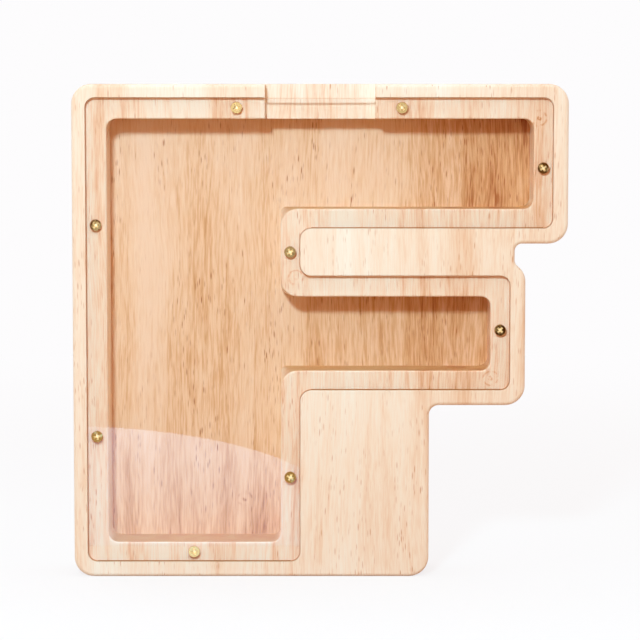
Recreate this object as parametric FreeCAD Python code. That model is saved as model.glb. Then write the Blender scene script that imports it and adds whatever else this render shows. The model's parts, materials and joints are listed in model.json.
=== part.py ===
import FreeCAD, Part
import math
import os

# Letter-shaped wooden money box that stands upright, with a clear window screwed into its front.
# Millimetres. X runs to the right across the front, Y from the front to the back, and Z up.
# The origin is on the base plane, midway across the width and the depth of the wood.
# Outlines are written with x from the left side and z from the base.

# Wooden case, across the front
rim_width = 5.8
land_width = 8.2
stem_width = 70.1
top_bar_reach = 101.9
middle_bar_setback = 17.0
foot_setback = 38.8
web_setback = 4.4

# Wooden case, up the front: the clear heights of the letter's pocket and the wood between them
foot_height = 84.2
middle_bar_height = 30.1
web_height = 35.5
top_bar_height = 36.2

# Wooden case, front to back: a frame cut right through, and the board glued behind it
frame_depth = 22.0
back_thickness = 8.0

# Corners and edges of the wood
outer_corner_radius = 8.0
foot_corner_radius = 4.0
web_corner_radius = 3.0
pocket_corner_radius = 4.0
pocket_nose_radius = 7.0
pocket_nose_floor_radius = 2.0
rebate_corner_radius = 4.0
rebate_nose_radius = 4.5
outer_edge_round = 1.5
rebate_edge_break = 0.2
pocket_edge_round = 0.6

# Clear window, sunk in a rebate that lies a little left of the pocket's middle and above it
window_thickness = 2.0
window_recess = 0.2
window_clearance = 0.2
window_edge_break = 0.15
rebate_shift = -0.3
rebate_rise = 0.35

# Coin slot, a notch through the top wall behind the window
coin_slot_width = 44.5
coin_slot_gap = 6.0

# Window screws, with flat heads sunk level with the window
screw_length = 10.0
screw_neck_length = 0.7
screw_tip_length = 1.8
thread_diameter = 2.2
thread_core_diameter = 1.6
thread_pitch = 0.8
thread_crest_share = 0.35
screw_head_diameter = 4.5
screw_head_side = 0.25
recess_width = 3.0
recess_floor_width = 1.2
recess_slot = 0.9
recess_floor_slot = 0.45
recess_depth = 1.1
recess_overrun = 0.1
head_clearance = 0.15
window_hole_clearance = 0.2
pilot_clearance = 0.05
pilot_end_gap = 0.5

# Places of the window screws along the land
top_screw_margin = 11.0
left_screw_spacing = 85.8
stem_screw_height = 40.4
top_bar_screw_drop = 2.0
middle_bar_screw_rise = 1.2

# Sizes that follow from the driving dimensions
wall = rim_width + land_width
case_depth = frame_depth + back_thickness
case_width = wall + stem_width + top_bar_reach + wall
rebate_depth = window_recess + window_thickness
coin_slot_depth = rebate_depth + coin_slot_gap
land_middle = rim_width + land_width / 2
land_beyond_pocket = land_width / 2
head_cone_height = (screw_head_diameter - thread_core_diameter) / 2
screw_head_height = screw_head_side + head_cone_height

pocket_left = wall
pocket_bottom = wall
stem_right = pocket_left + stem_width
top_bar_right = stem_right + top_bar_reach
middle_bar_right = top_bar_right - middle_bar_setback
middle_bar_low = foot_height
middle_bar_high = middle_bar_low + middle_bar_height
top_bar_low = middle_bar_high + web_height
top_bar_high = top_bar_low + top_bar_height
case_height = top_bar_high + wall

ON_PLANE = 1e-4
MEET = 1e-6
CUT_OVERRUN = 1.0


def place(x, z, depth):
    """Point in the part's frame, from the left side, the base and the front of the wood."""
    return FreeCAD.Vector(x - case_width / 2, depth - case_depth / 2, z)


def rounded_corner(before, corner, after, radius):
    """Start, middle and end of the arc that rounds one corner of an outline."""
    to_before = (before - corner).normalize()
    to_after = (after - corner).normalize()
    half_angle = to_before.getAngle(to_after) / 2
    inward = (to_before + to_after).normalize()
    reach = radius / math.tan(half_angle)
    start = corner + to_before * reach
    middle = corner + inward * (radius / math.sin(half_angle) - radius)
    end = corner + to_after * reach
    return start, middle, end


def outline(corners, depth):
    """Closed wire at one depth, through corners given as x, z and radius."""
    points = [place(x, z, depth) for x, z, radius in corners]
    count = len(points)
    arcs = []
    for i in range(count):
        after = points[(i + 1) % count]
        arcs.append(rounded_corner(points[i - 1], points[i], after, corners[i][2]))
    edges = []
    for i in range(count):
        start, middle, end = arcs[i]
        edges.append(Part.Arc(start, middle, end).toShape())
        next_start = arcs[(i + 1) % count][0]
        if end.distanceToPoint(next_start) > MEET:
            edges.append(Part.makeLine(end, next_start))
    return Part.Wire(edges)


def plate(corners, front, back):
    """Flat plate of one outline, from one depth to another."""
    face = Part.Face(outline(corners, front))
    return face.extrude(FreeCAD.Vector(0, back - front, 0))


def edges_at(shape, depth):
    """Edges that lie wholly at one depth."""
    level = place(0, 0, depth).y
    found = []
    for edge in shape.Edges:
        box = edge.BoundBox
        if abs(box.YMin - level) < ON_PLANE and abs(box.YMax - level) < ON_PLANE:
            found.append(edge)
    return found


def edges_along(shape, wire):
    """Edges of a shape that follow a given wire."""
    found = []
    for edge in shape.Edges:
        middle = edge.valueAt((edge.FirstParameter + edge.LastParameter) / 2)
        spots = [vertex.Point for vertex in edge.Vertexes] + [middle]
        if all(wire.distToShape(Part.Vertex(spot))[0] < ON_PLANE for spot in spots):
            found.append(edge)
    return found


def letter_corners(growth, corner_radius, nose_radius, shift, rise):
    """The letter of the pocket, grown outwards by a margin and moved to the side and up."""
    left = pocket_left - growth + shift
    bottom = pocket_bottom - growth + rise
    stem = stem_right + growth + shift
    arm_low = middle_bar_low - growth + rise
    arm_high = middle_bar_high + growth + rise
    arm_right = middle_bar_right + growth + shift
    bar_low = top_bar_low - growth + rise
    bar_high = top_bar_high + growth + rise
    bar_right = top_bar_right + growth + shift
    return [
        (left, bottom, corner_radius),
        (stem, bottom, corner_radius),
        (stem, arm_low, nose_radius),
        (arm_right, arm_low, corner_radius),
        (arm_right, arm_high, corner_radius),
        (stem, arm_high, nose_radius),
        (stem, bar_low, nose_radius),
        (bar_right, bar_low, corner_radius),
        (bar_right, bar_high, corner_radius),
        (left, bar_high, corner_radius),
    ]


def case_corners():
    """Outside of the wood: the letter with its wall, the web between its bars and the foot beside its stem."""
    arm_low = middle_bar_low - wall
    arm_high = middle_bar_high + wall
    arm_right = middle_bar_right + wall
    bar_low = top_bar_low - wall
    foot_right = arm_right - foot_setback
    web_right = arm_right - web_setback
    # The web's edge runs into the middle bar's rounded end as one smooth bend of two arcs
    bend_radii = outer_corner_radius + web_corner_radius
    half_turn = math.asin(math.sqrt(web_setback / (2 * bend_radii)))
    bend_length = bend_radii * math.tan(half_turn)
    arm_end_high = arm_high - outer_corner_radius + outer_corner_radius * math.tan(half_turn)
    web_end_low = arm_end_high + bend_length * math.cos(2 * half_turn)
    return [
        (0, 0, outer_corner_radius),
        (foot_right, 0, outer_corner_radius),
        (foot_right, arm_low, foot_corner_radius),
        (arm_right, arm_low, outer_corner_radius),
        (arm_right, arm_end_high, outer_corner_radius),
        (web_right, web_end_low, web_corner_radius),
        (web_right, bar_low, web_corner_radius),
        (case_width, bar_low, outer_corner_radius),
        (case_width, case_height, outer_corner_radius),
        (0, case_height, outer_corner_radius),
    ]


def screw_places():
    """Name, x, z and turn of the cross recess of each window screw, midway across the rebate's land."""
    slot_screw = coin_slot_width / 2 + top_screw_margin
    middle_x = case_width / 2
    middle_z = case_height / 2
    top = case_height - land_middle
    stem_land = stem_right + land_beyond_pocket
    bar_end = top_bar_right + land_beyond_pocket
    arm_end = middle_bar_right + land_beyond_pocket
    bar_middle = (top_bar_low + top_bar_high) / 2
    arm_middle = (middle_bar_low + middle_bar_high) / 2
    web_middle = (middle_bar_high + top_bar_low) / 2
    stem_middle = (pocket_left + stem_right) / 2
    places = [
        ("window_screw_top_left", middle_x - slot_screw, top, 20.0),
        ("window_screw_top_right", middle_x + slot_screw, top, 42.0),
        ("window_screw_top_bar_end", bar_end, bar_middle - top_bar_screw_drop, 30.0),
        ("window_screw_left_upper", land_middle, middle_z + left_screw_spacing / 2, 52.0),
        ("window_screw_left_lower", land_middle, middle_z - left_screw_spacing / 2, 12.0),
        ("window_screw_web", stem_land, web_middle, 28.0),
        ("window_screw_middle_bar_end", arm_end, arm_middle + middle_bar_screw_rise, 48.0),
        ("window_screw_stem_right", stem_land, stem_screw_height, 66.0),
        ("window_screw_base", stem_middle, land_middle, 5.0),
    ]
    return [(name, x + rebate_shift, z + rebate_rise, turn) for name, x, z, turn in places]


def bore(x, z, radius, front, back):
    """Round hole from one depth to another."""
    return Part.makeCylinder(radius, back - front, place(x, z, front), FreeCAD.Vector(0, 1, 0))


def countersink(x, z, mouth_radius, hole_radius, front):
    """Conical seat of a flat head, from its mouth at one depth down to the hole, at 45 degrees."""
    depth = mouth_radius - hole_radius
    return Part.makeCone(mouth_radius, hole_radius, depth, place(x, z, front), FreeCAD.Vector(0, 1, 0))


def rebate_corners(inset):
    """Outline of the rebate for the window, or of the window inside it with its clearance."""
    return letter_corners(
        land_width - inset,
        rebate_corner_radius - inset,
        rebate_nose_radius + inset,
        rebate_shift,
        rebate_rise,
    )


def pocket_corners(nose_radius):
    """Outline of the pocket, with the noses of its walls rounded to one radius."""
    return letter_corners(0, pocket_corner_radius, nose_radius, 0, 0)


def pocket_space():
    """The pocket right through the frame. Its noses are sanded rounder at the land than at the board behind."""
    taper = (pocket_nose_radius - pocket_nose_floor_radius) / (frame_depth - rebate_depth)
    mouth = pocket_corners(pocket_nose_radius + taper * CUT_OVERRUN)
    floor = pocket_corners(pocket_nose_floor_radius - taper * CUT_OVERRUN)
    ends = [outline(mouth, rebate_depth - CUT_OVERRUN), outline(floor, frame_depth + CUT_OVERRUN)]
    return Part.makeLoft(ends, True, True)


def case_frame():
    """Front board: cut through for the pocket, rebated for the window, notched for coins."""
    body = plate(case_corners(), 0, frame_depth)
    body = body.makeFillet(outer_edge_round, edges_at(body, 0))
    rebate = rebate_corners(0)
    body = body.cut(plate(rebate, -CUT_OVERRUN, rebate_depth))
    body = body.makeChamfer(rebate_edge_break, edges_along(body, outline(rebate, 0)))
    body = body.cut(pocket_space())
    pocket_edge = outline(pocket_corners(pocket_nose_radius), rebate_depth)
    body = body.makeFillet(pocket_edge_round, edges_along(body, pocket_edge))
    notch_length = wall + 2 * CUT_OVERRUN
    notch = Part.makeBox(coin_slot_width, coin_slot_depth + CUT_OVERRUN, notch_length)
    notch.translate(place((case_width - coin_slot_width) / 2, top_bar_high - CUT_OVERRUN, -CUT_OVERRUN))
    body = body.cut(notch)
    pilot_radius = thread_diameter / 2 + pilot_clearance
    pilot_end = window_recess + screw_length + pilot_end_gap
    for name, x, z, turn in screw_places():
        body = body.cut(bore(x, z, pilot_radius, rebate_depth - CUT_OVERRUN, pilot_end))
    return body


def back_panel():
    """Board behind the frame, with the same outside outline."""
    body = plate(case_corners(), frame_depth, case_depth)
    return body.makeFillet(outer_edge_round, edges_at(body, case_depth))


def clear_window():
    """Letter-shaped clear pane with a countersunk hole for each screw."""
    body = plate(rebate_corners(window_clearance), window_recess, rebate_depth)
    rims = edges_at(body, window_recess) + edges_at(body, rebate_depth)
    body = body.makeChamfer(window_edge_break, rims)
    hole_radius = thread_diameter / 2 + window_hole_clearance
    mouth_radius = screw_head_diameter / 2 + head_clearance
    mouth_floor = window_recess + screw_head_side
    for name, x, z, turn in screw_places():
        body = body.cut(bore(x, z, hole_radius, -CUT_OVERRUN, rebate_depth + CUT_OVERRUN))
        body = body.cut(bore(x, z, mouth_radius, -CUT_OVERRUN, mouth_floor))
        body = body.cut(countersink(x, z, mouth_radius, hole_radius, mouth_floor))
    return body


def screw_profile():
    """Half section of a screw in the XZ plane, with the flat of its head at z 0 and its tip down."""
    core = thread_core_diameter / 2
    crest = thread_diameter / 2
    head = screw_head_diameter / 2
    crest_half = thread_pitch * thread_crest_share
    thread_top = -screw_head_height - screw_neck_length
    points = [(0, -screw_length)]
    turn_low = -screw_length + screw_tip_length
    points.append((core, turn_low))
    while turn_low + 2 * crest_half < thread_top:
        points.append((crest, turn_low + crest_half))
        points.append((core, turn_low + 2 * crest_half))
        turn_low += thread_pitch
        points.append((core, turn_low))
    points[-1] = (core, -screw_head_height)
    points.append((head, -screw_head_side))
    points.append((head, 0))
    points.append((0, 0))
    corners = [FreeCAD.Vector(r, 0, h) for r, h in points]
    return Part.Face(Part.makePolygon(corners + corners[:1]))


def recess_arm():
    """One tapered arm of the cross recess, along X, open upwards."""
    arm = Part.makeWedge(
        -recess_floor_width / 2, 0, -recess_floor_slot / 2,
        -recess_slot / 2, -recess_width / 2,
        recess_floor_width / 2, recess_depth + recess_overrun, recess_floor_slot / 2,
        recess_slot / 2, recess_width / 2,
    )
    arm.rotate(FreeCAD.Vector(0, 0, 0), FreeCAD.Vector(1, 0, 0), 90)
    arm.translate(FreeCAD.Vector(0, 0, -recess_depth))
    return arm


def window_screw(x, z, turn):
    """Flat-headed cross-recess screw, driven in through the window at one place and turn."""
    up = FreeCAD.Vector(0, 0, 1)
    middle = FreeCAD.Vector(0, 0, 0)
    body = screw_profile().revolve(middle, up, 360)
    for quarter in (0, 90):
        arm = recess_arm()
        arm.rotate(middle, up, quarter)
        body = body.cut(arm)
    body.rotate(middle, up, turn)
    body.rotate(middle, FreeCAD.Vector(1, 0, 0), 90)
    body.translate(place(x, z, window_recess))
    return body


def save(name, shape):
    """Checks one piece and writes it to its file."""
    if not (shape.isValid() and len(shape.Solids) == 1):
        raise ValueError(name + " is not one sound solid")
    shape.Solids[0].exportStep("parts/" + name + ".step")
    print(name, round(shape.Volume, 1), "mm3")


os.makedirs("parts", exist_ok=True)
save("case_frame", case_frame())
save("back_panel", back_panel())
save("clear_window", clear_window())
for screw_name, screw_x, screw_z, screw_turn in screw_places():
    save(screw_name, window_screw(screw_x, screw_z, screw_turn))
print("outside", round(case_width, 2), round(case_depth, 2), round(case_height, 2))
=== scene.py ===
import bpy
import json
import math
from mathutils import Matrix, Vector

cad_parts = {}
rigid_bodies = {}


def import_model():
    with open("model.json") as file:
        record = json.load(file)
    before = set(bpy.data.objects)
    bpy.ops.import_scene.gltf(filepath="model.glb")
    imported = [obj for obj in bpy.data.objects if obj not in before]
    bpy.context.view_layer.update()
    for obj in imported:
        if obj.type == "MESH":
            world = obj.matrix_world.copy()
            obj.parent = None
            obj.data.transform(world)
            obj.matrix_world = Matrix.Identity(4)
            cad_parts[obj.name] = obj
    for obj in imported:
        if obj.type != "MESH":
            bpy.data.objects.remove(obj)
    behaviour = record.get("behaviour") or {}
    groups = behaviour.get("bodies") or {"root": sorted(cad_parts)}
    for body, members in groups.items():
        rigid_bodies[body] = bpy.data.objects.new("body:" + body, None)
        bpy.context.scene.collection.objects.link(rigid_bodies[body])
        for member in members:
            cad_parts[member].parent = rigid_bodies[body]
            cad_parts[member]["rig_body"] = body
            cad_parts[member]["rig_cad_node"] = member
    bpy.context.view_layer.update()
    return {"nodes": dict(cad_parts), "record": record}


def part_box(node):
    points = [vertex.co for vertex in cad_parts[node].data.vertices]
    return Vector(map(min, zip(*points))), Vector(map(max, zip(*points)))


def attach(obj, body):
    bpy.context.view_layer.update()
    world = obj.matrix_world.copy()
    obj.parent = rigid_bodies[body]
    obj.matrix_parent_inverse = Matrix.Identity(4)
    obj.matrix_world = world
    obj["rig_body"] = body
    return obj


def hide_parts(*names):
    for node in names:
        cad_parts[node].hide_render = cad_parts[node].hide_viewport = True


# Looks of a letter-shaped wooden money box: lacquered rubberwood, a clear acrylic window and brass screws.
# Metres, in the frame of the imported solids: X to the right, Y from the front to the back, Z up.

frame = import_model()
nodes = frame["nodes"]
bpy.ops.object.select_all(action="DESELECT")

MM = 0.001
wood_low, wood_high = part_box("case_frame")
front = wood_low.y

# Camera, as the photograph was taken: level with the top of the box and tilted a little down
camera_distance = 1.0714
camera_height = 0.1985
camera_tilt = math.radians(4.99)
photo_pixels = 640
photo_focal_pixels = 2661.5
camera_sensor = 36.0

# Key lamp, in front of the box, above it and a little to the left
key_x = -0.145
key_ahead = 0.82
key_height = 0.462
key_across = 0.10
key_power = 6.65
key_tone = "#c2eeff"
sparkle_power = 4.0

# Soft light from all round: a warm glow from the room in front, white paper at the sides, above and behind.
# One gives way to the other between two directions, given by how far they point to the back, from -1 to 1.
fill_front = "#cb9060"
fill_round = "#ffffff"
fill_turn = (-0.70, -0.25)
# Light that the floor throws back, and the places from front to back between which its tone changes
bounce_front = "#bc8a60"
bounce_round = "#d4d4d4"
bounce_turn = (-0.05, 0.10)

# What lies in front of the box and shows only as a mirror image: a dark table and a pale oval mat.
# Both end a gap short of the box, and the table's far edge is turned up.
mat_x = -0.16
mat_ahead = 0.12
mat_half_width = 0.175
mat_half_length = 0.36
mat_corners = 96
mat_tone = "#aad2ff"
table_half_width = 4.0
table_length = 4.0
table_far_share = 0.9
table_rim = 0.25
table_tone = "#6a4e30"
mirror_gap = 0.07
mirror_lift = 0.0003
# How strongly they glow near the box and far from it, and how far in front of the box near and far are
mat_glow = (2.0, 3.0)
table_glow = (1.0, 1.0)
mirror_reach = (0.10, 0.46)
# A ray with more glossy bounces than this belongs to a mirror image
mirror_bounces = 0.5

# White of the backdrop, and of the paper that takes the shadow. The shadow's share fades away between two
# distances from the middle of the box.
backdrop_tone = "#fdfcfd"
paper_tone = "#f4f4f4"
shadow_reach = (0.15, 0.90)
shadow_share = 0.20


def linear(code):
    """Linear colour of an sRGB hex value."""
    channels = [int(code[i:i + 2], 16) / 255 for i in (1, 3, 5)]
    return [c / 12.92 if c <= 0.04045 else ((c + 0.055) / 1.055) ** 2.4 for c in channels] + [1.0]


def add(tree, kind, inputs, **settings):
    """Adds one node. Its inputs are plain values, or the sockets or nodes that feed them.

    A node feeds by its first output."""
    made = tree.nodes.new(kind)
    for name, value in settings.items():
        setattr(made, name, value)
    for key, value in inputs.items():
        if isinstance(value, bpy.types.Node):
            value = value.outputs[0]
        if isinstance(value, bpy.types.NodeSocket):
            tree.links.new(value, made.inputs[key])
        else:
            made.inputs[key].default_value = value
    return made


def blank(name):
    """New material with an empty node tree."""
    material = bpy.data.materials.new(name)
    material.use_nodes = True
    material.node_tree.nodes.clear()
    return material, material.node_tree


# Wood

# Grain in millimetres: each pattern's width across the fibres and length along them, its detail,
# and the low and high values between which its noise shows.
GRAIN = {
    "cloud": (40.0, 170.0, 2.0, 0.30, 0.70),
    "blush": (9.0, 90.0, 2.0, 0.32, 0.68),
    "streak": (2.2, 28.0, 3.0, 0.46, 0.74),
    "fibre": (0.55, 9.0, 2.0, 0.30, 0.70),
    "crowd": (7.0, 60.0, 2.0, 0.40, 0.66),
    "worn": (2.0, 2.0, 1.0, 0.42, 0.60),
}
# Pores in millimetres: spacing across and along the fibres, and the share of it that a cut-open pore fills.
# Real pores are 0.2 to 0.3 mm wide, and they are drawn about twice as wide, so that they show.
pore_spacing = (0.75, 5.5)
pore_fills = (0.14, 0.38)
pore_chance = (0.35, 0.95)
crowd_shows = (0.35, 1.15)
# How far out, in half sizes, a patch of darker or paler wood fades away, and how far in it is whole
patch_fade = (1.30, 0.30)
# Growth rings: their widths in millimetres
RINGS = {"broad": 13.0, "narrow": 2.2}
ring_detail = 2.0
ring_shows = (0.30, 0.72)
# How far the fibres wander to the sides, over what width and length, in millimetres
wander = 6.0
wander_size = (50.0, 170.0)
wander_detail = 2.0
noise_middle = (0.5, 0.5, 0.5)
# Marks that a plunging router bit left: their radius, the radius of the part that shows whole, the spacing
# of the rings, all in millimetres, and how much they darken the wood
swirl_radius = 4.0
swirl_whole = 2.4
swirl_pitch = 2.4
swirl_share = 0.45
# The outside is sanded fine. Between these depths below the front, in millimetres, the grain gets coarser.
sanded_depth = (0.8, 1.8)
# Depths of colour at which the tones between the palest and the darkest stand
tone_depths = (0.34, 0.62, 0.84)
# How much a turn to the front takes from a face's end grain, and between which values end grain shows
end_tilt = -2.0
end_shows = (0.25, 1.0)
# Satin lacquer: roughness of the pale and of the dark fibres, and height of the grain in millimetres
satin_roughness = (0.42, 0.54)
lacquer_ior = 1.5
lacquer_gloss = 0.3
relief_height = 0.03
relief_strength = 0.1


def rubberwood(name, tones, shares, cut_grain, pores, pith, offset, patches, swirls):
    """Rubberwood, sanded and sealed with a satin lacquer: pale, with fine straight grain and short pores.

    Rings run round a pith that stands upright beside the board: the faces show lines, the ends show arcs.
    Tones go from the palest wood to the darkest, then come the pores and the tint of the end grain.
    Shares say how much each pattern darkens the wood, and cut_grain how much more below the sanded outside.
    Pores are how dark they are, and how many show in plain and in crowded wood. Offset moves the pattern.
    A patch makes the wood darker, or paler where its share is negative: X and Z of its middle, its half
    width, its half height and its share; one patch is partly painted shade. Swirls are the middles of the
    router's marks. Places are in millimetres."""
    material, tree = blank(name)
    pale, mid, warm, tan, brown, pore_tone, end_tone = (linear(tone) for tone in tones)
    place = add(tree, "ShaderNodeTexCoord", {})
    board = add(tree, "ShaderNodeMapping", {"Vector": place.outputs["Object"], "Scale": [1 / MM] * 3})
    grain = add(tree, "ShaderNodeVectorMath", {0: board, 1: offset}, operation="ADD")

    # The fibres wander a little from side to side as they run up the board
    across, along = wander_size
    size = (1 / across, 1 / across, 1 / along)
    slow = add(tree, "ShaderNodeVectorMath", {0: grain, 1: size}, operation="MULTIPLY")
    drift = add(tree, "ShaderNodeTexNoise", {"Vector": slow, "Scale": 1.0, "Detail": wander_detail})
    either_way = {0: drift.outputs["Color"], 1: noise_middle}
    aside = add(tree, "ShaderNodeVectorMath", either_way, operation="SUBTRACT")
    reach = (2 * wander, 2 * wander, 0.0)
    bent = add(tree, "ShaderNodeVectorMath", {0: aside, 1: reach, 2: grain}, operation="MULTIPLY_ADD")

    shows = {}
    for pattern, (across, along, detail, low, high) in GRAIN.items():
        size = (1 / across, 1 / across, 1 / along)
        spread = add(tree, "ShaderNodeVectorMath", {0: bent, 1: size}, operation="MULTIPLY")
        noise = add(tree, "ShaderNodeTexNoise", {"Vector": spread, "Scale": 1.0, "Detail": detail})
        limits = {"Value": noise, "From Min": low, "From Max": high}
        shows[pattern] = add(tree, "ShaderNodeMapRange", limits, interpolation_type="SMOOTHSTEP")

    across, along = pore_spacing
    size = (1 / across, 1 / across, 1 / along)
    spread = add(tree, "ShaderNodeVectorMath", {0: bent, 1: size}, operation="MULTIPLY")
    cells = add(tree, "ShaderNodeTexVoronoi", {"Vector": spread, "Scale": 1.0})
    limits = {"Value": cells.outputs["Distance"], "From Min": pore_fills[1], "From Max": pore_fills[0]}
    opened = add(tree, "ShaderNodeMapRange", limits, interpolation_type="SMOOTHSTEP")
    dice = add(tree, "ShaderNodeSeparateColor", {"Color": cells.outputs["Color"]})
    limits = {"Value": dice, "From Min": pore_chance[0], "From Max": pore_chance[1]}
    chance = add(tree, "ShaderNodeMapRange", limits)
    shows["pore"] = add(tree, "ShaderNodeMath", {0: opened, 1: chance}, operation="MULTIPLY")

    level = add(tree, "ShaderNodeVectorMath", {0: bent, 1: (1.0, 1.0, 0.0)}, operation="MULTIPLY")
    ends = {0: level, 1: (*pith, 0.0)}
    radius = add(tree, "ShaderNodeVectorMath", ends, operation="DISTANCE").outputs["Value"]
    for pattern, width in RINGS.items():
        count = add(tree, "ShaderNodeMath", {0: radius, 1: width}, operation="DIVIDE")
        settings = {"W": count, "Scale": 1.0, "Detail": ring_detail}
        noise = add(tree, "ShaderNodeTexNoise", settings, noise_dimensions="1D")
        limits = {"Value": noise, "From Min": ring_shows[0], "From Max": ring_shows[1]}
        shows[pattern] = add(tree, "ShaderNodeMapRange", limits, interpolation_type="SMOOTHSTEP")

    depth = 0.0
    for pattern, share in shares.items():
        deeper = {0: shows[pattern], 1: share, 2: depth}
        depth = add(tree, "ShaderNodeMath", deeper, operation="MULTIPLY_ADD")
    sides = add(tree, "ShaderNodeSeparateXYZ", {"Vector": board})
    shallow, deep = (front / MM + below for below in sanded_depth)
    limits = {"Value": sides.outputs["Y"], "From Min": shallow, "From Max": deep}
    limits.update({"To Min": 1.0, "To Max": cut_grain})
    coarse = add(tree, "ShaderNodeMapRange", limits, interpolation_type="SMOOTHSTEP")
    mean = sum(shares.values()) / 2
    swing = add(tree, "ShaderNodeMath", {0: depth, 1: mean}, operation="SUBTRACT")
    depth = add(tree, "ShaderNodeMath", {0: swing, 1: coarse, 2: mean}, operation="MULTIPLY_ADD")
    straight = add(tree, "ShaderNodeVectorMath", {0: bent, 1: offset}, operation="SUBTRACT")
    for x, z, half_width, half_height, share in patches:
        size = (1 / half_width, 0.0, 1 / half_height)
        middle = (-x / half_width, 0.0, -z / half_height)
        around = {0: straight, 1: size, 2: middle}
        within = add(tree, "ShaderNodeVectorMath", around, operation="MULTIPLY_ADD")
        out = add(tree, "ShaderNodeVectorMath", {0: within}, operation="LENGTH").outputs["Value"]
        limits = {"Value": out, "From Min": patch_fade[0], "From Max": patch_fade[1], "To Max": share}
        patch = add(tree, "ShaderNodeMapRange", limits, interpolation_type="SMOOTHSTEP")
        depth = add(tree, "ShaderNodeMath", {0: depth, 1: patch}, operation="ADD")
    for x, z in swirls:
        middle = (-x, 0.0, -z)
        around = {0: board, 1: (1.0, 0.0, 1.0), 2: middle}
        within = add(tree, "ShaderNodeVectorMath", around, operation="MULTIPLY_ADD")
        out = add(tree, "ShaderNodeVectorMath", {0: within}, operation="LENGTH").outputs["Value"]
        turn = add(tree, "ShaderNodeMath", {0: out, 1: 2 * math.pi / swirl_pitch}, operation="MULTIPLY")
        wave = add(tree, "ShaderNodeMath", {0: turn}, operation="SINE")
        broken = {0: wave, 1: shows["worn"]}
        ridge = add(tree, "ShaderNodeMath", broken, operation="MULTIPLY", use_clamp=True)
        limits = {"Value": out, "From Min": swirl_radius, "From Max": swirl_whole, "To Max": swirl_share}
        worn = add(tree, "ShaderNodeMapRange", limits, interpolation_type="SMOOTHSTEP")
        depth = add(tree, "ShaderNodeMath", {0: ridge, 1: worn, 2: depth}, operation="MULTIPLY_ADD")

    ramp = add(tree, "ShaderNodeValToRGB", {"Fac": depth})
    stops = ramp.color_ramp.elements
    stops[0].color = pale
    stops[1].color = brown
    for position, tone in zip(tone_depths, (mid, warm, tan)):
        stops.new(position).color = tone
    colour = ramp.outputs["Color"]

    dark, sparse, crowded = pores
    thick = add(tree, "ShaderNodeMath", {0: shows["crowd"], 1: depth}, operation="ADD")
    limits = {"Value": thick, "From Min": crowd_shows[0], "From Max": crowd_shows[1]}
    limits.update({"To Min": sparse, "To Max": crowded})
    amount = add(tree, "ShaderNodeMapRange", limits)
    pore = add(tree, "ShaderNodeMath", {0: shows["pore"], 1: amount}, operation="MULTIPLY")
    inked = add(tree, "ShaderNodeMath", {0: pore, 1: dark}, operation="MULTIPLY")
    colour = add(tree, "ShaderNodeMix", {0: inked, 6: colour, 7: pore_tone}, data_type="RGBA").outputs[2]

    # End grain drinks more of the lacquer, so it is darker and more orange
    turned = add(tree, "ShaderNodeVectorMath", {0: place.outputs["Normal"]}, operation="ABSOLUTE")
    slope = add(tree, "ShaderNodeSeparateXYZ", {"Vector": turned})
    steep = {0: slope.outputs["Y"], 1: end_tilt, 2: slope.outputs["Z"]}
    upright = add(tree, "ShaderNodeMath", steep, operation="MULTIPLY_ADD")
    limits = {"Value": upright, "From Min": end_shows[0], "From Max": end_shows[1]}
    end_grain = add(tree, "ShaderNodeMapRange", limits, interpolation_type="SMOOTHSTEP")
    soaked = {0: end_grain, 6: colour, 7: end_tone}
    colour = add(tree, "ShaderNodeMix", soaked, data_type="RGBA", blend_type="MULTIPLY").outputs[2]

    relief = add(tree, "ShaderNodeMath", {0: shows["fibre"], 1: pore}, operation="SUBTRACT")
    height = {"Strength": relief_strength, "Distance": relief_height * MM, "Height": relief}
    bump = add(tree, "ShaderNodeBump", height)
    limits = {"Value": shows["fibre"], "To Min": satin_roughness[0], "To Max": satin_roughness[1]}
    satin = add(tree, "ShaderNodeMapRange", limits)
    lacquer = {"Base Color": colour, "Roughness": satin, "Normal": bump}
    lacquer.update({"IOR": lacquer_ior, "Specular IOR Level": lacquer_gloss})
    surface = add(tree, "ShaderNodeBsdfPrincipled", lacquer)
    add(tree, "ShaderNodeOutputMaterial", {"Surface": surface})
    return material


# Acrylic

# Cast acrylic: its own tone, the tint of the light that passes it, and the roughness that a cutter leaves
acrylic_ior = 1.49
acrylic_tone = "#ffffff"
acrylic_tint = "#fffbf8"
frost_roughness = 0.5


def clear_acrylic():
    """Cast acrylic sheet with its polished faces: clear, with a faint mirror image."""
    material, tree = blank("clear_cast_acrylic")
    sheet = {"Base Color": linear(acrylic_tone), "Roughness": 0.0, "IOR": acrylic_ior}
    sheet["Transmission Weight"] = 1.0
    glass = add(tree, "ShaderNodeBsdfPrincipled", sheet)
    path = add(tree, "ShaderNodeLightPath", {})
    clear = add(tree, "ShaderNodeBsdfTransparent", {"Color": linear(acrylic_tint)})
    soft = add(tree, "ShaderNodeMixShader", {0: path.outputs["Is Diffuse Ray"], 1: glass, 2: clear})
    lit = add(tree, "ShaderNodeMixShader", {0: path.outputs["Is Shadow Ray"], 1: soft, 2: clear})
    add(tree, "ShaderNodeOutputMaterial", {"Surface": lit})
    return material


def milled_acrylic(name, tone, shows):
    """Acrylic that a cutter has frosted: it catches the light, and the wood shows only dimly through it."""
    material, tree = blank(name)
    frost = {"Base Color": linear(tone), "Roughness": frost_roughness, "IOR": acrylic_ior, "Alpha": shows}
    edge = add(tree, "ShaderNodeBsdfPrincipled", frost)
    add(tree, "ShaderNodeOutputMaterial", {"Surface": edge})
    return material


# Brass

# Tarnish: the size of its clouds in millimetres, and for each state of the screws its tone
# and the noise values between which it shows
tarnish_size = 2.6
tarnish_detail = 2.0
TARNISH = {
    "bright": ("#8a5a24", 0.58, 0.74),
    "browned": ("#c8863c", 0.30, 0.46),
    # Dark clouds on these heads are partly tarnish and partly a painted dark reflection
    "tarnish_with_painted_reflection": ("#8a5a24", 0.40, 0.54),
}
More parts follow.
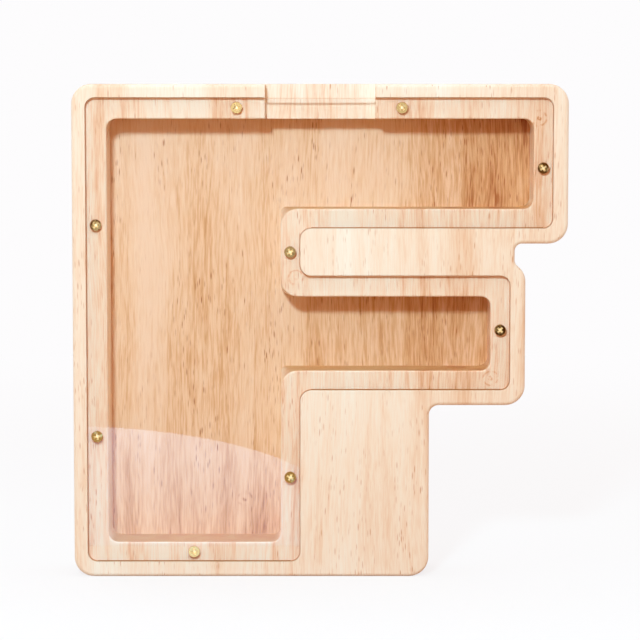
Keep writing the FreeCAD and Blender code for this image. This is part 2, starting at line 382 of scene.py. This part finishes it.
# The screws that are not bright
screw_state = {
    "left_upper": "tarnish_with_painted_reflection",
    "top_bar_end": "tarnish_with_painted_reflection",
    "middle_bar_end": "tarnish_with_painted_reflection",
    "left_lower": "browned",
    "stem_right": "browned",
}
brass_tone = "#f5d898"
# Pale tone of the recess: rubbed brass, partly a painted highlight
rubbed_and_highlight_tone = "#fbecc8"
# Roughness of the tumbled head and of the rubbed recess
brass_roughness = (0.24, 0.55)
# How deep below the flat of the head the recess begins to look rubbed and pale, partly as a painted
# highlight, and is so wholly, in millimetres
recess_shows = (0.03, 0.15)
head_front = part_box("window_screw_base")[0].y


def rolled_brass(state):
    """Rolled brass, tumbled bright: a pale yellow metal with clouds of tarnish on the flat of the head. On
    some heads the dark clouds are partly a painted dark reflection.

    The driver's bit rubs the cross recess, so it stays pale and dull; its pale tone is partly a painted
    highlight."""
    material, tree = blank(state + "_brass")
    place = add(tree, "ShaderNodeTexCoord", {})
    cloud_scale = 1 / (tarnish_size * MM)
    clouds = {"Vector": place.outputs["Object"], "Scale": cloud_scale, "Detail": tarnish_detail}
    cloud = add(tree, "ShaderNodeTexNoise", clouds)
    tarnish_tone, low, high = TARNISH[state]
    limits = {"Value": cloud, "From Min": low, "From Max": high}
    tarnish = add(tree, "ShaderNodeMapRange", limits, interpolation_type="SMOOTHSTEP")
    tones = {0: tarnish, 6: linear(brass_tone), 7: linear(tarnish_tone)}
    face = add(tree, "ShaderNodeMix", tones, data_type="RGBA").outputs[2]
    sides = add(tree, "ShaderNodeSeparateXYZ", {"Vector": place.outputs["Object"]})
    shallow, deep = (head_front + below * MM for below in recess_shows)
    limits = {"Value": sides.outputs["Y"], "From Min": shallow, "From Max": deep}
    rubbed_and_highlight = add(tree, "ShaderNodeMapRange", limits)
    tones = {0: rubbed_and_highlight, 6: face, 7: linear(rubbed_and_highlight_tone)}
    colour = add(tree, "ShaderNodeMix", tones, data_type="RGBA").outputs[2]
    limits = {"Value": rubbed_and_highlight, "To Min": brass_roughness[0], "To Max": brass_roughness[1]}
    rough = add(tree, "ShaderNodeMapRange", limits)
    metal = {"Base Color": colour, "Metallic": 1.0, "Roughness": rough}
    surface = add(tree, "ShaderNodeBsdfPrincipled", metal)
    add(tree, "ShaderNodeOutputMaterial", {"Surface": surface})
    return material


frame_wood = rubberwood(
    "lacquered_rubberwood_frame",
    tones=("#faf1e2", "#f8e1ca", "#eec5a3", "#e2ae86", "#d09264", "#cc8044", "#dcbb8c"),
    shares={"broad": 0.14, "narrow": 0.06, "cloud": 0.12, "blush": 0.14, "fibre": 0.15, "streak": 0.12},
    cut_grain=1.9,
    pores=(0.75, 0.10, 1.0),
    pith=(-230.0, 150.0),
    offset=(0.0, 0.0, 0.0),
    patches=(
        (-85.0, 190.0, 6.0, 70.0, 0.17),
        (-57.0, 190.0, 21.0, 30.0, -0.22),
        (-88.3, 100.0, 3.1, 170.0, 0.12),
        (12.0, 110.0, 29.0, 70.0, -0.12),
        (56.0, 150.0, 7.0, 130.0, 0.24),
        (72.0, 150.0, 8.0, 130.0, 0.20),
        (88.0, 150.0, 11.0, 130.0, 0.05),
        (-97.0, 60.0, 5.0, 95.0, 0.09),
        (-87.0, 10.0, 9.0, 50.0, -0.30),
        (45.0, 200.0, 26.0, 8.0, -0.20),
    ),
    swirls=((88.2, 186.2), (69.1, 81.1), (-9.8, 122.1)),
)
board_wood = rubberwood(
    "lacquered_rubberwood_board",
    tones=("#f6dbc2", "#efcca9", "#deae82", "#cc925f", "#a86032", "#a8561c", "#d6ab84"),
    shares={"broad": 0.09, "narrow": 0.05, "cloud": 0.12, "blush": 0.11, "fibre": 0.20, "streak": 0.11},
    cut_grain=1.6,
    pores=(0.95, 0.15, 1.0),
    pith=(-260.0, 190.0),
    offset=(37.0, 61.0, 140.0),
    patches=(
        (-69.0, 100.0, 7.0, 170.0, -0.16),
        (-31.0, 110.0, 13.0, 70.0, 0.03),
        (28.0, 165.0, 20.0, 85.0, 0.08),
        (53.0, 165.0, 14.0, 85.0, 0.36),
        (76.0, 165.0, 18.0, 85.0, 0.48),
        (77.0, 160.0, 3.5, 50.0, 0.10),
        # Darker wood at the top right corner of the top bar's floor, deepened there as painted shade under
        # the top wall
        (86.0, 192.0, 12.0, 30.0, 0.22),
        (-48.0, 0.0, 62.0, 46.0, 0.26),
        (-50.0, 24.0, 13.0, 40.0, -0.20),
        (-74.0, 14.0, 8.0, 40.0, 0.12),
        (-24.0, 34.0, 9.0, 40.0, 0.12),
        (15.0, 90.0, 34.0, 42.0, 0.26),
        (52.0, 90.0, 25.0, 42.0, 0.16),
    ),
    swirls=((-31.1, 28.7),),
)
acrylic = clear_acrylic()
acrylic_edge = milled_acrylic("milled_acrylic_edge", "#f0b083", 0.85)
# Painted shade: the milled lower edges, and a strip of the front above them, in dark tan for the shade in
# the joint with the rim
acrylic_painted_shade = milled_acrylic("milled_acrylic_painted_shade", "#c4803e", 0.75)
brass = {state: rolled_brass(state) for state in TARNISH}

finish_of_slot = {"wood_frame": frame_wood, "wood_back": board_wood, "brass_screw": brass["bright"]}
for part in frame["record"]["subparts"]:
    finish = finish_of_slot.get(part["material_slot"])
    if finish:
        nodes[part["node"]].material_slots[0].material = finish
for screw, state in screw_state.items():
    nodes["window_screw_" + screw].material_slots[0].material = brass[state]


# Window

# A narrow strip of the front along the lower edges is as dark as those edges: painted shade of the joint
# with the rim
shade_strip_width = 0.2 * MM
# How far a face is turned towards an axis, from 0 to 1, where it counts as facing that way or as slanting
facing = 0.8
slanting = 0.5
# An edge shorter than this belongs to a corner or to a screw hole
short_edge = 2.0 * MM
# Points closer than this are one point
merge_distance = 0.001 * MM
# Places of the pane's materials in its list
POLISHED, MILLED, PAINTED_SHADE = range(3)


def acrylic_window():
    """The pane: polished faces and a milled edge. The faces below and a strip of the front above each lower
    edge are dark, as painted shade of the joint with the rim.
    """
    pane = nodes["clear_window"].copy()
    pane.data = pane.data.copy()
    pane.name = "acrylic_window"
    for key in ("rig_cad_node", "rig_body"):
        del pane[key]
    pane.parent = None
    bpy.context.scene.collection.objects.link(pane)
    bpy.context.view_layer.objects.active = pane
    pane.select_set(True)
    bpy.ops.object.mode_set(mode="EDIT")
    bpy.ops.mesh.select_mode(type="FACE")
    bpy.ops.mesh.select_all(action="SELECT")
    bpy.ops.mesh.remove_doubles(threshold=merge_distance)
    bpy.ops.mesh.customdata_custom_splitnormals_clear()
    bpy.ops.mesh.faces_shade_flat()
    bpy.ops.mesh.select_all(action="DESELECT")
    bpy.ops.object.mode_set(mode="OBJECT")
    for face in pane.data.polygons:
        face.select = face.normal.y < -facing
    bpy.ops.object.mode_set(mode="EDIT")
    bpy.ops.mesh.inset(thickness=shade_strip_width)
    bpy.ops.object.mode_set(mode="OBJECT")

    pane.data.materials.clear()
    for finish in (acrylic, acrylic_edge, acrylic_painted_shade):
        pane.data.materials.append(finish)
    low_points = set()
    for face in pane.data.polygons:
        face.material_index = POLISHED if abs(face.normal.y) > facing else MILLED
        across = [pane.data.vertices[point].co.x for point in face.vertices]
        # Downward faces of the edge take the painted shade
        if face.normal.z < -slanting and max(across) - min(across) > short_edge:
            face.material_index = PAINTED_SHADE
            low_points.update(face.vertices)
    for face in pane.data.polygons:
        in_shade_strip = face.normal.y < -facing and not face.select
        if in_shade_strip and len(low_points.intersection(face.vertices)) > 1:
            face.material_index = PAINTED_SHADE
    bpy.ops.object.select_all(action="DESELECT")
    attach(pane, "window")
    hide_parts("clear_window")


acrylic_window()


# Stage

def seen_straight(tree):
    """1 for a ray that comes from the camera, a mirror or clear glass, and 0 for any other."""
    path = add(tree, "ShaderNodeLightPath", {})
    straight = {0: path.outputs["Is Camera Ray"], 1: path.outputs["Is Glossy Ray"]}
    seen = add(tree, "ShaderNodeMath", straight, operation="ADD")
    through = {0: seen, 1: path.outputs["Is Transmission Ray"]}
    return add(tree, "ShaderNodeMath", through, operation="ADD", use_clamp=True)


def backdrop_white(name):
    """Matt white that the camera and mirrors see as white, and that keeps a faint shadow round the box."""
    material, tree = blank(name)
    place = add(tree, "ShaderNodeTexCoord", {})
    spot = place.outputs["Object"]
    away = add(tree, "ShaderNodeVectorMath", {0: spot}, operation="LENGTH").outputs["Value"]
    near, far = shadow_reach
    fade = {"Value": away, "From Min": near, "From Max": far, "To Min": 1 - shadow_share}
    share = add(tree, "ShaderNodeMapRange", fade, interpolation_type="SMOOTHSTEP")
    matt = add(tree, "ShaderNodeBsdfDiffuse", {"Color": linear(paper_tone)})
    sides = add(tree, "ShaderNodeSeparateXYZ", {"Vector": spot})
    behind = {"Value": sides.outputs["Y"], "From Min": bounce_turn[0], "From Max": bounce_turn[1]}
    turned = add(tree, "ShaderNodeMapRange", behind, interpolation_type="SMOOTHSTEP")
    tones = {0: turned, 6: linear(bounce_front), 7: linear(bounce_round)}
    bounce = add(tree, "ShaderNodeMix", tones, data_type="RGBA").outputs[2]
    dull = add(tree, "ShaderNodeBsdfDiffuse", {"Color": bounce})
    glow = add(tree, "ShaderNodeEmission", {"Color": linear(backdrop_tone), "Strength": 1.0})
    white = add(tree, "ShaderNodeMixShader", {0: share, 1: matt, 2: glow})
    lit = add(tree, "ShaderNodeMixShader", {0: seen_straight(tree), 1: dull, 2: white})
    add(tree, "ShaderNodeOutputMaterial", {"Surface": lit})
    return material


def mirror_tone(name, code, near, far):
    """Plain tone that shows only in a mirror image: rays that come straight or through clear glass pass it.

    Near and far are its strengths at the two ends of mirror_reach."""
    material, tree = blank(name)
    place = add(tree, "ShaderNodeTexCoord", {})
    sides = add(tree, "ShaderNodeSeparateXYZ", {"Vector": place.outputs["Object"]})
    start, end = (front - ahead for ahead in mirror_reach)
    limits = {"Value": sides.outputs["Y"], "From Min": start, "From Max": end}
    limits.update({"To Min": near, "To Max": far})
    strength = add(tree, "ShaderNodeMapRange", limits)
    glow = add(tree, "ShaderNodeEmission", {"Color": linear(code), "Strength": strength})
    nothing = add(tree, "ShaderNodeBsdfTransparent", {})
    path = add(tree, "ShaderNodeLightPath", {})
    bounced = {0: path.outputs["Glossy Depth"], 1: mirror_bounces}
    mirrored = add(tree, "ShaderNodeMath", bounced, operation="GREATER_THAN")
    shown = add(tree, "ShaderNodeMixShader", {0: mirrored, 1: nothing, 2: glow})
    add(tree, "ShaderNodeOutputMaterial", {"Surface": shown})
    return material


def mirror_only(piece):
    """Leaves a stage piece to mirror images alone."""
    piece.visible_camera = False
    piece.visible_diffuse = False
    piece.visible_shadow = False


bpy.ops.mesh.primitive_plane_add(size=2 * table_half_width, location=(0, 0, 0))
floor = bpy.context.object
floor.name = "pale_floor"
floor.data.materials.append(backdrop_white("matt_white_floor"))

table_middle = front - mirror_gap - table_length / 2
bpy.ops.mesh.primitive_plane_add(size=1, location=(0, table_middle, mirror_lift))
dark_table = bpy.context.object
dark_table.name = "dark_table"
dark_table.scale = (2 * table_half_width, table_length, 1)
bpy.ops.object.transform_apply()
bpy.ops.object.mode_set(mode="EDIT")
bpy.ops.mesh.select_mode(type="EDGE")
bpy.ops.mesh.select_all(action="DESELECT")
bpy.ops.object.mode_set(mode="OBJECT")
for edge in dark_table.data.edges:
    ends = [dark_table.data.vertices[i].co.y for i in edge.vertices]
    edge.select = max(ends) < front - table_far_share * table_length
bpy.ops.object.mode_set(mode="EDIT")
bpy.ops.mesh.extrude_region_move(TRANSFORM_OT_translate={"value": (0, 0, table_rim)})
bpy.ops.object.mode_set(mode="OBJECT")
dark_table.data.materials.append(mirror_tone("dark_table_brown", table_tone, *table_glow))
mirror_only(dark_table)

mat_middle = (mat_x, front - mat_ahead, 2 * mirror_lift)
bpy.ops.mesh.primitive_circle_add(vertices=mat_corners, radius=1, fill_type="NGON", location=mat_middle)
pale_mat = bpy.context.object
pale_mat.name = "pale_mat"
pale_mat.scale = (mat_half_width, mat_half_length, 1)
bpy.ops.object.transform_apply()
for vertex in pale_mat.data.vertices:
    vertex.co.y = min(vertex.co.y, front - mirror_gap)
pale_mat.data.materials.append(mirror_tone("pale_mat_blue", mat_tone, *mat_glow))
mirror_only(pale_mat)

world = bpy.data.worlds.new("white_studio")
bpy.context.scene.world = world
world.use_nodes = True
sky = world.node_tree
sky.nodes.clear()
place = add(sky, "ShaderNodeTexCoord", {})
towards = add(sky, "ShaderNodeSeparateXYZ", {"Vector": place.outputs["Generated"]})
turned = {"Value": towards.outputs["Y"], "From Min": fill_turn[0], "From Max": fill_turn[1]}
aside = add(sky, "ShaderNodeMapRange", turned, interpolation_type="SMOOTHSTEP")
tone = add(sky, "ShaderNodeMix", {0: aside, 6: linear(fill_front), 7: linear(fill_round)}, data_type="RGBA")
fill = add(sky, "ShaderNodeBackground", {"Color": tone.outputs[2], "Strength": 1.0})
white = add(sky, "ShaderNodeBackground", {"Color": linear(backdrop_tone), "Strength": 1.0})
both = add(sky, "ShaderNodeMixShader", {0: seen_straight(sky), 1: fill, 2: white})
add(sky, "ShaderNodeOutputWorld", {"Surface": both})

target = Vector((0, front, wood_high.z / 2))
bpy.ops.object.light_add(type="AREA", location=(key_x, front - key_ahead, key_height))
key = bpy.context.object
key.name = "key_lamp"
key.data.shape = "DISK"
key.data.size = key_across
key.data.energy = key_power
key.data.color = linear(key_tone)[:3]
key.rotation_euler = (target - key.location).to_track_quat("-Z", "Y").to_euler()
key.visible_glossy = False

# The same lamp once more, plain white, for highlights alone
bpy.ops.object.light_add(type="AREA", location=key.location, rotation=key.rotation_euler)
sparkle = bpy.context.object
sparkle.name = "sparkle_lamp"
sparkle.data.shape = "DISK"
sparkle.data.size = key_across
sparkle.data.energy = sparkle_power
sparkle.visible_diffuse = False

camera_place = (0, front - camera_distance, camera_height)
bpy.ops.object.camera_add(location=camera_place, rotation=(math.pi / 2 - camera_tilt, 0, 0))
camera = bpy.context.object
camera.data.sensor_width = camera_sensor
camera.data.lens = photo_focal_pixels / photo_pixels * camera_sensor
bpy.context.scene.camera = camera
bpy.context.scene.view_settings.view_transform = "Standard"
